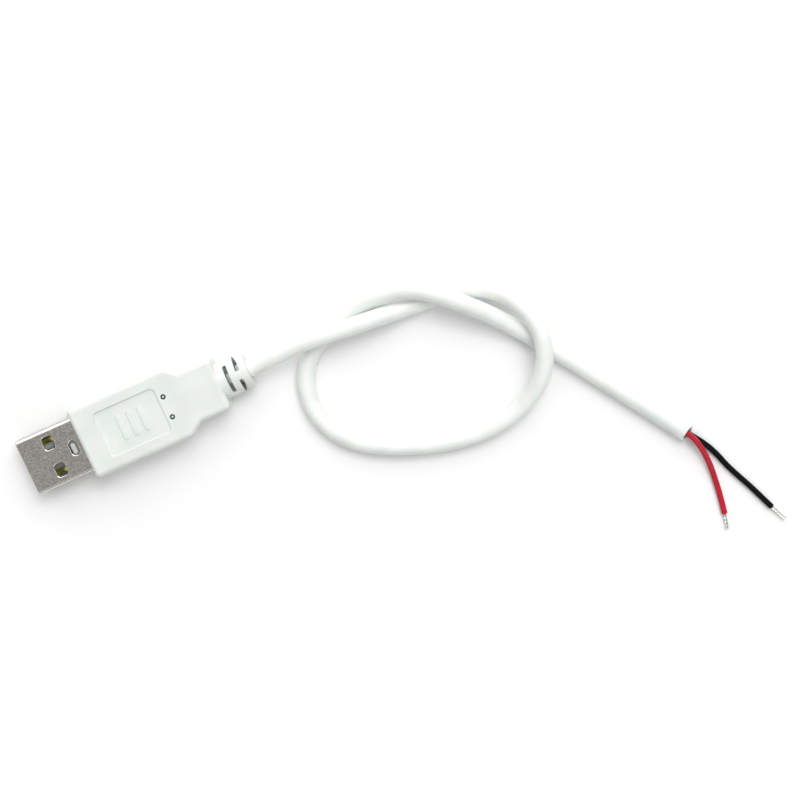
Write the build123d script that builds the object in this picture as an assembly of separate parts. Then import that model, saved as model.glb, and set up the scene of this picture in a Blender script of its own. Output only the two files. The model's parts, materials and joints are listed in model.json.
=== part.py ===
from build123d import *
import math
import os

# A short power lead: a moulded type A plug on a two-core cable that lies in a loose
# overhand knot and ends in two stripped and tinned wires.
# Millimetres. X runs along the plug from its mouth to the cable, Z is up, the table is z = 0.

# Height of the plug's axis over the table
plug_axis_height = 4.0

# Folded sheet shell
shell_width = 12.0
shell_height = 4.5
shell_length = 18.75
shell_visible = 12.7
sheet = 0.3
shell_corner = 0.8
shell_edge_round = 0.12
seam_gap = 0.08
seam_lock_x = 8.2
seam_lock_length = 2.4
seam_lock_neck = 1.4
seam_lock_head = 2.2
window_from_mouth = 6.4
window_offset = 3.05
window_length = 2.3
window_width = 2.8
window_corner = 0.6
window_rim = 0.14
lock_hole_from_mouth = 10.8
lock_hole_length = 1.7
lock_hole_width = 3.2

# Contact carrier inside the shell
carrier_clearance = 0.04
tongue_setback = 0.5
tongue_thickness = 1.95
tongue_nose = 0.35
block_from_mouth = 9.9
boss_gap = 0.3
boss_rise = 0.08
contact_groove_width = 1.5
contact_groove_depth = 0.42

# Contacts
contact_width = 1.0
contact_thickness = 0.35
contact_crown = 0.12
contact_bend = 0.7
contact_dip = 0.75
contact_fit = 0.03
contact_nose_room = 0.3
power_offset = 3.5
data_offset = 1.0
power_from_mouth = 1.2
data_from_mouth = 2.2
power_tail = 4.2
data_tail = 1.6

# Overmould
mould_length = 31.5
mould_width = 15.4
mould_thickness = 8.0
mould_edge = 1.0
taper_start = 21.8
taper_end = 24.4
tail_width = 11.3
panel_start = 4.8
panel_length = 13.8
panel_width = 9.9
panel_depth = 0.35
panel_front_corner = 0.8
panel_back_corner = 1.0
panel_edge = 0.14
grip_bar_count = 3
grip_bar_width = 1.0
grip_bar_length = 5.6
grip_bar_pitch = 2.4
grip_bar_rise = 0.2
pin_hole_x = 19.75
pin_hole_offset = 2.26
pin_hole_diameter = 1.0
rib_start = 7.8
rib_pitch = 0.52
rib_count = 10
rib_depth = 0.23
rib_height = 5.0

# Strain relief, part of the overmould
relief_collar = 1.6
relief_slot = 0.8
relief_ring = 1.5
relief_root_diameter = 7.9
relief_end_diameter = 7.4
relief_lip = 0.35
bridge_width = 1.9
side_bridge = 1.05
slot_floor = 0.25
relief_seat = 0.5

# Inner mould
inner_width = 13.0
inner_height = 6.0
inner_start = 3.3
inner_step = 21.0
inner_neck_width = 8.0
inner_neck_height = 5.6
inner_end_wall = 2.9
inner_corner = 0.6

# Cable
jacket_diameter = 3.7
jacket_bore = 2.7
wire_diameter = 1.25
wire_offset = 0.68
conductor_diameter = 0.5
tinned_diameter = 0.6
tip_chamfer = 0.1
plug_bore_depth = 4.0
end_bore_depth = 11.0
wire_inset = 0.4
strip_depth = 0.6
red_tin_length = 3.4
black_tin_length = 4.0
solder_length = 2.6
solder_radius = 0.65
solder_film = 0.05
plug_conductor_length = 5.4
plug_wire_gap = 0.6
plug_fan_start = 2.0
plug_fan_end = 8.5

# The cable's route over the table, from inside the relief to its cut end
cable_route = [
    (15.0, 0.0, 4.0),
    (26.3, 0.0, 4.0),
    (37.8, 0.8, 5.9),
    (48.3, -0.4, 6.0),
    (62.3, -1.9, 1.9),
    (70.5, -2.4, 1.9),
    (79.6, -6.1, 4.3),
    (83.7, -15.3, 6.0),
    (81.6, -24.6, 5.8),
    (73.8, -30.8, 2.8),
    (61.3, -32.5, 1.9),
    (46.8, -28.2, 1.9),
    (37.0, -22.2, 1.9),
    (32.9, -13.4, 1.9),
    (35.4, -4.3, 1.9),
    (43.2, 1.0, 1.9),
    (52.3, 3.1, 2.7),
    (62.3, 2.3, 6.0),
    (71.3, -5.4, 6.0),
    (79.0, -14.4, 1.9),
    (91.3, -32.1, 1.9),
    (103.0, -49.7, 1.9),
]

# The two leads beyond the cut end, each from the mouth of the jacket
red_route = [
    (103.0, -49.7, 2.58),
    (104.4, -51.8, 2.58),
    (105.05, -55.3, 2.0),
    (104.9, -62.2, 0.7),
    (103.6, -68.9, 0.7),
]
black_route = [
    (103.0, -49.7, 1.22),
    (104.8, -52.4, 1.2),
    (107.1, -57.6, 0.7),
    (111.0, -66.2, 0.7),
    (113.2, -71.6, 0.7),
]

# Each contact's place across the tongue and its distance from the mouth
contact_places = [
    (-power_offset, power_from_mouth),
    (-data_offset, data_from_mouth),
    (data_offset, data_from_mouth),
    (power_offset, power_from_mouth),
]

# Places that follow from the sizes above
relief_length = relief_collar + 2 * relief_slot + 2 * relief_ring
plug_length = shell_visible + mould_length + relief_length
mouth_x = -plug_length / 2
shell_end_x = mouth_x + shell_length
face_x = mouth_x + shell_visible
tail_end_x = face_x + mould_length
relief_end_x = tail_end_x + relief_length
lock_hole_x = mouth_x + lock_hole_from_mouth
block_x = mouth_x + block_from_mouth
cavity_width = shell_width - 2 * sheet
cavity_height = shell_height - 2 * sheet
cavity_corner = shell_corner - sheet
tongue_top = plug_axis_height - cavity_height / 2 + tongue_thickness
contact_floor = tongue_top - contact_groove_depth
contact_top = contact_floor + contact_thickness
conductor_z = contact_top + solder_film + conductor_diameter / 2
inner_end_x = tail_end_x - inner_end_wall
jacket_start_x = cable_route[0][0]
joint_x = shell_end_x + power_tail / 2
plug_wire_x = shell_end_x + power_tail + plug_wire_gap


def block(x0, x1, width, z0, z1, y=0.0):
    """A plain box between two places along the plug and two heights, centred on y."""
    return Pos((x0 + x1) / 2, y, (z0 + z1) / 2) * Box(x1 - x0, width, z1 - z0)


def bar_along_x(x0, x1, width, height, corner):
    """A rounded bar on the plug's axis."""
    section = Plane((x0, 0, plug_axis_height), x_dir=(0, 1, 0), z_dir=(1, 0, 0))
    return extrude(section * RectangleRounded(width, height, corner), x1 - x0)


def rod_along_x(x0, x1, diameter, y=0.0, z=plug_axis_height):
    """A round bar between two places along the plug."""
    return Pos((x0 + x1) / 2, y, z) * Rot(0, 90, 0) * Cylinder(diameter / 2, x1 - x0)


def corner_radii(route):
    """The largest arc that each corner of a route has room for."""
    points = [Vector(*p) for p in route]
    radii = []
    for before, corner, after in zip(points, points[1:], points[2:]):
        run_in = corner - before
        run_out = after - corner
        half_turn = math.radians(run_in.get_angle(run_out)) / 2
        shorter = min(run_in.length, run_out.length)
        radii.append(0.45 * shorter / math.tan(half_turn))
    return radii


def routed_path(route):
    """Straight runs joined by tangent arcs."""
    return FilletPolyline(*route, radius=corner_radii(route))


def swept_tube(route, diameter):
    """A round tube along a route."""
    path = routed_path(route)
    start = Plane(origin=path @ 0, z_dir=path % 0)
    return sweep(start * Circle(diameter / 2), path=path)


def end_direction(route):
    """The unit direction of a route's last run."""
    return (Vector(*route[-1]) - Vector(*route[-2])).normalized()


def rod_from(point, direction, diameter, length):
    """A round bar that starts at a point and runs in a direction."""
    start = Plane(origin=point, z_dir=direction)
    return extrude(start * Circle(diameter / 2), length)


def make_shell():
    """The folded shell, with its seam, windows and locking hole."""
    shell = bar_along_x(mouth_x, shell_end_x, shell_width, shell_height, shell_corner)
    front_edges = shell.faces().sort_by(Axis.X)[0].edges()
    shell = fillet(front_edges, shell_edge_round)
    shell -= bar_along_x(mouth_x - 1, shell_end_x + 1, cavity_width, cavity_height, cavity_corner)
    window_x = mouth_x + window_from_mouth
    windows = [
        Pos(window_x, side * window_offset, plug_axis_height)
        * extrude(RectangleRounded(window_length, window_width, window_corner), shell_height, both=True)
        for side in (-1, 1)
    ]
    shell -= windows
    slot = Rot(0, 0, 90) * SlotOverall(lock_hole_width, lock_hole_length)
    shell -= Pos(lock_hole_x, 0, plug_axis_height) * extrude(slot, shell_height)
    top_face = shell.faces().filter_by(Axis.Z).sort_by(Axis.Z)[-1]
    shell = chamfer([e for w in top_face.inner_wires() for e in w.edges()], window_rim)
    low_face = shell.faces().filter_by(Axis.Z).sort_by(Axis.Z)[0]
    shell = chamfer([e for w in low_face.inner_wires() for e in w.edges()], window_rim)
    return shell - make_seam()


def make_seam():
    """The slit where the sheet's edges meet under the plug, with its dovetail lock."""
    lock_start = mouth_x + seam_lock_x
    lock_end = lock_start + seam_lock_length
    neck = seam_lock_neck / 2
    head = seam_lock_head / 2
    run = [
        (mouth_x - 1, 0),
        (lock_start + (head - neck), 0),
        (lock_start + (head - neck), head),
        (lock_start + (head - neck) + neck, head),
        (lock_end, 0),
        (shell_end_x + 1, 0),
    ]
    slit = trace(Polyline(*run), seam_gap)
    return Pos(0, 0, plug_axis_height - shell_height / 2 - sheet) * extrude(slit, 3 * sheet)


def make_contact(y, from_mouth, tail):
    """A stamped contact with a crowned face, a bent nose and a solder tail."""
    nose_x = mouth_x + from_mouth
    middle = contact_floor + contact_thickness / 2
    run = FilletPolyline(
        (shell_end_x + tail, middle),
        (nose_x + contact_thickness, middle),
        (nose_x + contact_thickness / 2, middle - contact_dip),
        radius=contact_bend,
    )
    side = Plane((0, y + contact_width / 2, 0), x_dir=(1, 0, 0), z_dir=(0, -1, 0))
    blade = extrude(side * trace(run, contact_thickness), contact_width)
    long_edges = [
        e for e in blade.edges().filter_by(Axis.X)
        if e.length > 5 and e.center().Z > middle
    ]
    return chamfer(long_edges, contact_crown)


def make_carrier():
    """The insulator: a tongue with a groove for each contact, and the block behind it."""
    width = cavity_width - 2 * carrier_clearance
    height = cavity_height - 2 * carrier_clearance
    tongue_x = mouth_x + tongue_setback
    carrier = bar_along_x(tongue_x, shell_end_x, width, height, cavity_corner)
    carrier -= block(mouth_x - 1, block_x, shell_width, tongue_top, plug_axis_height + shell_height)
    nose_edges = [e for e in carrier.edges().filter_by(Axis.Y) if abs(e.center().X - tongue_x) < 0.01]
    carrier = chamfer(nose_edges, tongue_nose)
    for y, from_mouth in contact_places:
        groove_x = mouth_x + from_mouth - contact_thickness
        carrier -= block(groove_x, block_x, contact_groove_width, contact_floor, tongue_top + 1, y)
        pocket_end = groove_x + contact_thickness + contact_bend + contact_nose_room
        carrier -= block(groove_x, pocket_end, contact_groove_width, contact_floor - contact_dip, tongue_top, y)
        channel = contact_width + 2 * contact_fit
        carrier -= block(block_x - 1, shell_end_x + 1, channel, contact_floor, contact_top + contact_fit, y)
    boss_length = lock_hole_length - 2 * boss_gap
    boss_width = lock_hole_width - 2 * boss_gap
    boss_base = plug_axis_height + height / 2
    boss = extrude(Rot(0, 0, 90) * SlotOverall(boss_width, boss_length), boss_rise + carrier_clearance)
    return carrier + Pos(lock_hole_x, 0, boss_base) * boss


def plan_outline():
    """The overmould seen from above."""
    half = mould_width / 2
    tail = tail_width / 2
    outline = Polyline(
        (face_x, -half),
        (face_x + taper_start, -half),
        (face_x + taper_end, -tail),
        (tail_end_x, -tail),
        (tail_end_x, tail),
        (face_x + taper_end, tail),
        (face_x + taper_start, half),
        (face_x, half),
        close=True,
    )
    return make_face(outline)


def make_relief():
    """The round strain relief, with slots cut by turns from above and from the sides."""
    ring_x = [
        tail_end_x - mould_edge - relief_seat,
        tail_end_x + relief_collar,
        tail_end_x + relief_collar + relief_slot,
        tail_end_x + relief_collar + relief_slot + relief_ring,
        tail_end_x + relief_collar + 2 * relief_slot + relief_ring,
        relief_end_x,
    ]
    root = relief_root_diameter / 2
    end = relief_end_diameter / 2
    profile = Polyline(
        (ring_x[0], 0), (ring_x[0], root), (tail_end_x, root), (relief_end_x - relief_lip, end),
        (relief_end_x, end - relief_lip), (relief_end_x, 0), close=True,
    )
    relief = Pos(0, 0, plug_axis_height) * revolve(make_face(profile), Axis.X)
    floor = jacket_diameter / 2 - slot_floor
    top_slot = block(ring_x[1], ring_x[2], 2 * (root - side_bridge), floor, 2 * root)
    side_slot = block(ring_x[3], ring_x[4], root, -root, root, bridge_width / 2 + root / 2)
    for turned in (0, 180):
        relief -= Pos(0, 0, plug_axis_height) * Rot(turned, 0, 0) * top_slot
        relief -= Pos(0, 0, plug_axis_height) * Rot(turned, 0, 0) * side_slot
    return relief


def make_body():
    """The overmould's outer form before its inside is taken out."""
    body = extrude(plan_outline(), mould_thickness)
    body = fillet(body.edges().filter_by(Axis.Z), mould_edge)
    rims = body.faces().sort_by(Axis.Z)[-1].edges() + body.faces().sort_by(Axis.Z)[0].edges()
    return fillet(rims, mould_edge)


def cut_panel(body):
    """The sunk panel on top, with plain raised grip bars on its floor."""
    floor = mould_thickness - panel_depth
    middle = face_x + panel_start + panel_length / 2
    outline = Rectangle(panel_length, panel_width)
    outline = fillet(outline.vertices().group_by(Axis.X)[0], panel_front_corner)
    outline = fillet(outline.vertices().group_by(Axis.X)[-1], panel_back_corner)
    recess = extrude(outline, 2 * panel_depth)
    recess = chamfer(recess.faces().sort_by(Axis.Z)[0].edges(), panel_edge)
    body -= Pos(middle, 0, floor) * recess
    for index in range(grip_bar_count):
        x = middle + (index - (grip_bar_count - 1) / 2) * grip_bar_pitch
        bar = extrude(Rot(0, 0, 90) * SlotOverall(grip_bar_length, grip_bar_width), grip_bar_rise)
        body += Pos(x, 0, floor) * bar
    return body


def cut_side_ribs(body):
    """A short row of fine upright grooves in each side wall."""
    for index in range(rib_count):
        x = face_x + rib_start + index * rib_pitch
        for side in (-1, 1):
            groove = Pos(x, side * mould_width / 2, plug_axis_height) * Rot(0, 0, 45)
            width = rib_depth * math.sqrt(2)
            body -= groove * Box(width, width, rib_height)
    return body


def inner_block():
    """The form of the inner mould, which is also the cavity that the overmould has."""
    start = face_x + inner_start
    step = face_x + inner_step
    wide = bar_along_x(start, step, inner_width, inner_height, inner_corner)
    neck = bar_along_x(step, inner_end_x, inner_neck_width, inner_neck_height, inner_corner)
    return wide + neck


def make_overmould():
    """The soft outer moulding with its strain relief, as one piece."""
    body = cut_side_ribs(cut_panel(make_body()))
    body += make_relief()
    body -= bar_along_x(face_x - 1, shell_end_x, shell_width, shell_height, shell_corner)
    body -= inner_block()
    body -= rod_along_x(inner_end_x - 1, relief_end_x + 1, jacket_diameter)
    for side in (-1, 1):
        hole = Cylinder(pin_hole_diameter / 2, mould_thickness / 2)
        body -= Pos(face_x + pin_hole_x, side * pin_hole_offset, mould_thickness) * hole
    return body


def make_inner_mould(held):
    """The stiff inner mould round the back of the shell, the joints and the cable's end."""
    body = inner_block()
    body -= bar_along_x(face_x, shell_end_x, shell_width, shell_height, shell_corner)
    body -= rod_along_x(jacket_start_x, relief_end_x, jacket_diameter)
    for piece in held:
        body -= piece
    return body


def make_jacket():
    """The cable's jacket, bored at both ends for the wires."""
    jacket = swept_tube(cable_route, jacket_diameter)
    jacket -= rod_along_x(jacket_start_x - 1, jacket_start_x + plug_bore_depth, jacket_bore)
    back = end_direction(cable_route) * -1
    jacket -= rod_from(Vector(*cable_route[-1]) - back, back, jacket_bore, end_bore_depth + 1)
    return jacket


def wire_in_plug(y, level):
    """The stretch of a wire from the jacket's bore to its contact."""
    route = [
        (jacket_start_x + plug_bore_depth - wire_inset, 0, level),
        (jacket_start_x - plug_fan_start, 0, level),
        (jacket_start_x - plug_fan_end, y, conductor_z),
        (plug_wire_x, y, conductor_z),
    ]
    return swept_tube(route, wire_diameter)


def lead(route):
    """The stretch of a wire from inside the jacket's cut end to its own cut end."""
    back = end_direction(cable_route) * -1
    inside = rod_from(Vector(*route[0]), back, wire_diameter, end_bore_depth - wire_inset)
    return inside + swept_tube(route, wire_diameter)


def tinned_end(route, length):
    """The bare tinned strands beyond a lead's cut insulation, with a blunt tip."""
    end = Vector(*route[-1])
    bar = rod_from(end, end_direction(route), tinned_diameter, length)
    tip = bar.faces().sort_by_distance(end)[-1]
    return chamfer(tip.edges(), tip_chamfer)


def conductor_in_plug(y):
    """The stripped end of a wire, laid along its contact's tail."""
    start = plug_wire_x + strip_depth - plug_conductor_length
    return rod_along_x(start, plug_wire_x + strip_depth, conductor_diameter, y, conductor_z)


def make_solder(y, conductor):
    """The mound of solder that holds a stripped end on its contact's tail."""
    start = joint_x - solder_length / 2
    end = joint_x + solder_length / 2
    mound = rod_along_x(start, end, 2 * solder_radius, y, conductor_z)
    mound -= block(start - 1, end + 1, 4 * solder_radius, contact_top - 2 * solder_radius, contact_top, y)
    return mound - conductor


shell = make_shell()
contact_vbus = make_contact(-power_offset, power_from_mouth, power_tail)
contact_data_minus = make_contact(-data_offset, data_from_mouth, data_tail)
contact_data_plus = make_contact(data_offset, data_from_mouth, data_tail)
contact_ground = make_contact(power_offset, power_from_mouth, power_tail)
contacts = [contact_vbus, contact_data_minus, contact_data_plus, contact_ground]
carrier = make_carrier()

red_tip = conductor_in_plug(-power_offset)
black_tip = conductor_in_plug(power_offset)
red_solder = make_solder(-power_offset, red_tip)
black_solder = make_solder(power_offset, black_tip)
red_inner = wire_in_plug(-power_offset, plug_axis_height + wire_offset) - red_tip
black_inner = wire_in_plug(power_offset, plug_axis_height - wire_offset) - black_tip

red_end = tinned_end(red_route, red_tin_length)
black_end = tinned_end(black_route, black_tin_length)
red_outer = lead(red_route)
black_outer = lead(black_route)

overmould = make_overmould()
held = contacts + [red_tip, black_tip, red_solder, black_solder, red_inner, black_inner]
inner_mould = make_inner_mould(held)
jacket = make_jacket()

parts = {
    "plug_overmould": overmould,
    "inner_mould": inner_mould,
    "plug_shell": shell,
    "contact_carrier": carrier,
    "contact_vbus": contact_vbus,
    "contact_data_minus": contact_data_minus,
    "contact_data_plus": contact_data_plus,
    "contact_ground": contact_ground,
    "vbus_solder_joint": red_solder,
    "ground_solder_joint": black_solder,
    "cable_jacket": jacket,
    "red_wire": Compound([red_inner, red_outer]),
    "black_wire": Compound([black_inner, black_outer]),
    "red_conductor": Compound([red_tip, red_end]),
    "black_conductor": Compound([black_tip, black_end]),
}

os.makedirs("parts", exist_ok=True)
for name, solid in parts.items():
    export_step(solid, f"parts/{name}.step")

for name, route in (("cable", cable_route), ("red lead", red_route), ("black lead", black_route)):
    print(name, "radii", [round(r, 1) for r in corner_radii(route)])
cable_length = routed_path(cable_route).length
section = math.pi * jacket_diameter ** 2 / 4
print("cable length", round(cable_length, 1), "volume by length", round(section * cable_length, 1))
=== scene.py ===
import bmesh
import bpy
import json
import math
from mathutils import Matrix, Vector

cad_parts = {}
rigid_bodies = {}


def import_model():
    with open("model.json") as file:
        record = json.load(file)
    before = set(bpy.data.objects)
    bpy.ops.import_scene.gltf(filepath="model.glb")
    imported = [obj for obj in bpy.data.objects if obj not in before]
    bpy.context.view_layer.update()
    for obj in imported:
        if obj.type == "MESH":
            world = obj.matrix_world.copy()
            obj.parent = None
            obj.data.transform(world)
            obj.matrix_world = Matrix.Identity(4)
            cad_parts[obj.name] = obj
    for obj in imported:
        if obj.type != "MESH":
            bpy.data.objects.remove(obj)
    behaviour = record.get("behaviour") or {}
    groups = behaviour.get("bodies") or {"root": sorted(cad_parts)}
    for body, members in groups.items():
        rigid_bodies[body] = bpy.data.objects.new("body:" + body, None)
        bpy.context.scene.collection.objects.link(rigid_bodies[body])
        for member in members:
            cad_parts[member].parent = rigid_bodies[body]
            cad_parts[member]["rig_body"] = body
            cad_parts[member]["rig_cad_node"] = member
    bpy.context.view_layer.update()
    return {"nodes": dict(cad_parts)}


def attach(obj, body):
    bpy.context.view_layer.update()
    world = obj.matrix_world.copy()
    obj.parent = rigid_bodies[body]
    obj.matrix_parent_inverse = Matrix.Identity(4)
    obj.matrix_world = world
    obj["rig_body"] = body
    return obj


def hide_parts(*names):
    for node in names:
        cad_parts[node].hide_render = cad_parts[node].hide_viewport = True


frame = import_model()
mm = 0.001
print("frame loaded:", len(frame["nodes"]), "nodes")


def toLinear(hexColour):  # sRGB hex to the linear values that the shaders take
    channels = [int(hexColour[i:i + 2], 16) / 255 for i in (1, 3, 5)]
    linear = [c / 12.92 if c <= 0.04045 else ((c + 0.055) / 1.055) ** 2.4 for c in channels]
    return (*linear, 1.0)


# camera, where the photo was taken from: nearly straight down on the lead
camera = {
    "target": (50.81, -19.07, 0.0),  # mm, the middle of the picture on the table
    "plugTurn": 24,  # degrees from the picture's right to the plug's axis
    "elevation": 82,  # degrees
    "distance": 350,  # mm
    "focal": 75.2,
    "clip": (0.01, 20),  # metres
}


def addCamera():
    turn = math.radians(camera["plugTurn"])
    lift = math.radians(camera["elevation"])
    towards = Vector((math.sin(turn), math.cos(turn), 0))  # the picture's up, along the table
    back = towards * math.cos(lift) + Vector((0, 0, 1)) * math.sin(lift)  # it leans from the picture's top
    upward = towards * math.sin(lift) - Vector((0, 0, 1)) * math.cos(lift)
    across = upward.cross(back)
    data = bpy.data.cameras.new("photoCamera")
    data.lens = camera["focal"]
    data.clip_start, data.clip_end = camera["clip"]
    cam = bpy.data.objects.new("photoCamera", data)
    bpy.context.scene.collection.objects.link(cam)
    place = (Vector(camera["target"]) + back * camera["distance"]) * mm
    cam.matrix_world = Matrix((
        (across.x, upward.x, back.x, place.x),
        (across.y, upward.y, back.y, place.y),
        (across.z, upward.z, back.z, place.z),
        (0, 0, 0, 1),
    ))
    bpy.context.scene.camera = cam


addCamera()
print("camera placed")


# small tools for working as by hand
def pick(piece):
    bpy.ops.object.select_all(action="DESELECT")
    piece.select_set(True)
    bpy.context.view_layer.objects.active = piece


def applyAll(piece):
    pick(piece)
    for modifier in list(piece.modifiers):
        bpy.ops.object.modifier_apply(modifier=modifier.name)


def settle(piece):  # the place and size go into the mesh, the object stays at the origin
    pick(piece)
    bpy.ops.object.transform_apply(location=True, rotation=True, scale=True)


def addBlock(name, low, high):
    middle = [(a + b) / 2 * mm for a, b in zip(low, high)]
    bpy.ops.object.select_all(action="DESELECT")
    bpy.ops.mesh.primitive_cube_add(size=1, location=middle)
    piece = bpy.context.object
    piece.name = name
    piece.scale = [(b - a) * mm for a, b in zip(low, high)]
    settle(piece)
    return piece


def addRod(name, start, end, radius, sides, endRadius=None):  # a round bar or cone between two points in mm
    a, b = Vector(start) * mm, Vector(end) * mm
    bpy.ops.object.select_all(action="DESELECT")
    bpy.ops.mesh.primitive_cone_add(
        vertices=sides, radius1=radius * mm, radius2=(radius if endRadius is None else endRadius) * mm,
        depth=(b - a).length, location=(a + b) / 2, rotation=(b - a).to_track_quat("Z", "Y").to_euler(),
    )
    piece = bpy.context.object
    piece.name = name
    settle(piece)
    return piece


def editSelect(piece, kind, test):  # opens the piece in edit mode with only what passes the test selected
    pick(piece)
    bpy.ops.object.mode_set(mode="EDIT")
    bpy.ops.mesh.select_mode(type=kind)
    bpy.ops.mesh.select_all(action="DESELECT")
    edit = bmesh.from_edit_mesh(piece.data)
    parts = {"VERT": edit.verts, "EDGE": edit.edges, "FACE": edit.faces}[kind]
    for part in parts:
        if test(part):
            part.select = True
    edit.select_flush_mode()
    bmesh.update_edit_mesh(piece.data)


def leaveEdit():
    bpy.ops.object.mode_set(mode="OBJECT")


def bevelSharp(piece, width, segments, angle, clamp=False):
    bevel = piece.modifiers.new("edges", "BEVEL")
    bevel.width = width * mm
    bevel.segments = segments
    bevel.limit_method = "ANGLE"
    bevel.angle_limit = math.radians(angle)
    bevel.use_clamp_overlap = clamp
    applyAll(piece)


def combine(piece, other, how):  # joins or cuts with a second mesh, which is used up
    boolean = piece.modifiers.new("combine", "BOOLEAN")
    boolean.operation = how
    boolean.solver = "EXACT"
    boolean.object = other
    applyAll(piece)
    bpy.data.objects.remove(other)


def joinAll(pieces, name):
    bpy.ops.object.select_all(action="DESELECT")
    for piece in pieces:
        piece.select_set(True)
    bpy.context.view_layer.objects.active = pieces[0]
    bpy.ops.object.join()
    pieces[0].name = name
    return pieces[0]


def smoothByAngle(piece, angle):
    pick(piece)
    bpy.ops.object.shade_smooth_by_angle(angle=math.radians(angle))


def flattenFaces(piece):  # large flat faces keep their own normals beside rounded edges
    weighted = piece.modifiers.new("normals", "WEIGHTED_NORMAL")
    weighted.keep_sharp = True
    applyAll(piece)


def weldClose(piece, distance=0.001):  # merges the points that lie closer than this, in mm
    pick(piece)
    bpy.ops.object.mode_set(mode="EDIT")
    bpy.ops.mesh.select_mode(type="VERT")
    bpy.ops.mesh.select_all(action="SELECT")
    bpy.ops.mesh.remove_doubles(threshold=distance * mm)
    leaveEdit()


# cords: the route's points are the control points of a smooth line, in metres
jacketRoute = [
    (0.0150, 0.0000, 0.0040), (0.0263, 0.0000, 0.0040), (0.0378, 0.0008, 0.0059), (0.0483, -0.0004, 0.0060),
    (0.0623, -0.0019, 0.0019), (0.0705, -0.0024, 0.0019), (0.0796, -0.0061, 0.0043), (0.0837, -0.0153, 0.0060),
    (0.0816, -0.0246, 0.0058), (0.0738, -0.0308, 0.0028), (0.0613, -0.0325, 0.0019), (0.0468, -0.0282, 0.0019),
    (0.0370, -0.0222, 0.0019), (0.0329, -0.0134, 0.0019), (0.0354, -0.0043, 0.0019), (0.0432, 0.0010, 0.0019),
    (0.0523, 0.0031, 0.0027), (0.0623, 0.0023, 0.0060), (0.0713, -0.0054, 0.0060), (0.0790, -0.0144, 0.0019),
    (0.0913, -0.0321, 0.0019), (0.1030, -0.0497, 0.0019),
]
redRoute = [
    (0.09716, -0.04091, 0.00258), (0.1030, -0.0497, 0.00258), (0.1039, -0.0517, 0.0025), (0.1044, -0.0540, 0.0021),
    (0.1047, -0.0566, 0.0016), (0.1047, -0.0595, 0.0010), (0.1045, -0.0623, 0.0007), (0.1042, -0.0653, 0.0007),
    (0.1036, -0.0689, 0.0007),
]
blackRoute = [
    (0.09716, -0.04091, 0.00122), (0.1030, -0.0497, 0.00122), (0.1045, -0.0519, 0.0011), (0.1054, -0.0533, 0.0009),
    (0.1063, -0.0550, 0.0007), (0.1071, -0.0569, 0.0007), (0.1080, -0.0597, 0.0007), (0.1092, -0.0624, 0.0007),
    (0.1104, -0.0649, 0.0007), (0.1116, -0.0677, 0.0007), (0.1132, -0.0716, 0.0007),
]


def addLine(name, points, smoothness):
    data = bpy.data.curves.new(name, "CURVE")
    data.dimensions = "3D"
    data.resolution_u = smoothness
    data.twist_mode = "MINIMUM"
    line = data.splines.new("NURBS")
    line.points.add(len(points) - 1)
    for knot, place in zip(line.points, points):
        knot.co = (*place, 1)
    line.order_u = 3
    line.use_endpoint_u = True
    piece = bpy.data.objects.new(name, data)
    bpy.context.scene.collection.objects.link(piece)
    return piece


def readLine(piece):  # the smooth line's own points, from its unbevelled curve
    mesh = bpy.data.meshes.new_from_object(piece)
    points = [v.co.copy() for v in mesh.vertices]
    bpy.data.meshes.remove(mesh)
    return points


def lineLength(points):
    return sum((b - a).length for a, b in zip(points, points[1:]))


def makeTube(name, route, cord):
    line = addLine(name, route, cord["smoothness"])
    path = readLine(line)
    line.data.bevel_depth = cord["diameter"] * mm / 2
    line.data.bevel_resolution = cord["roundness"]
    pick(line)
    bpy.ops.object.convert(target="MESH")
    tube = bpy.context.object
    tube.name = name
    weldClose(tube)
    return tube, path


def closeEnd(tube, end, diameter):  # fills the tube's open ring with one flat face, which stays selected
    reach = diameter * 0.55  # a little over the radius
    editSelect(tube, "EDGE", lambda e: e.is_boundary and all((v.co - end).length < reach for v in e.verts))
    bpy.ops.mesh.edge_face_add()
    bpy.ops.mesh.normals_make_consistent(inside=False)


def boreEnd(tube, end, inward, wall, depth, slant=0):  # the flat end becomes a ring round a bore
    closeEnd(tube, end, jacket["diameter"] * mm)
    if slant:  # a cut that is not quite square, so that the upper lip is shorter
        edit = bmesh.from_edit_mesh(tube.data)
        for vertex in edit.verts:
            if vertex.select:
                vertex.co += inward * (vertex.co.z - end.z) * math.tan(math.radians(slant))
        bmesh.update_edit_mesh(tube.data)
    bpy.ops.mesh.inset(thickness=wall * mm)
    bpy.ops.mesh.extrude_region_move(TRANSFORM_OT_translate={"value": inward * depth * mm})
    leaveEdit()


jacket = {
    "diameter": 3.7, "bore": 2.7, "plugBore": 4.0, "endBore": 11.0,  # mm, the last two are the bores' depths
    "cutSlant": 22, "rounding": 0.08, "smoothness": 16, "roundness": 18,  # the slant is in degrees
}
wire = {
    "diameter": 1.25, "rounding": 0.05, "smoothness": 12, "roundness": 10,
    "plugStretch": 50,  # mm along the plug, between the stretch in the plug and the free end
}


def makeJacket():
    tube, path = makeTube("cableJacket", jacketRoute, jacket)
    wall = (jacket["diameter"] - jacket["bore"]) / 2
    boreEnd(tube, path[0], (path[1] - path[0]).normalized(), wall, jacket["plugBore"])
    boreEnd(tube, path[-1], (path[-2] - path[-1]).normalized(), wall, jacket["endBore"], jacket["cutSlant"])
    bevelSharp(tube, jacket["rounding"], 2, 60, clamp=True)
    smoothByAngle(tube, 50)
    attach(tube, "root")
    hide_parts("cable_jacket")
    print("jacket length", round(lineLength(path) * 1000, 1))
    return tube, path


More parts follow.
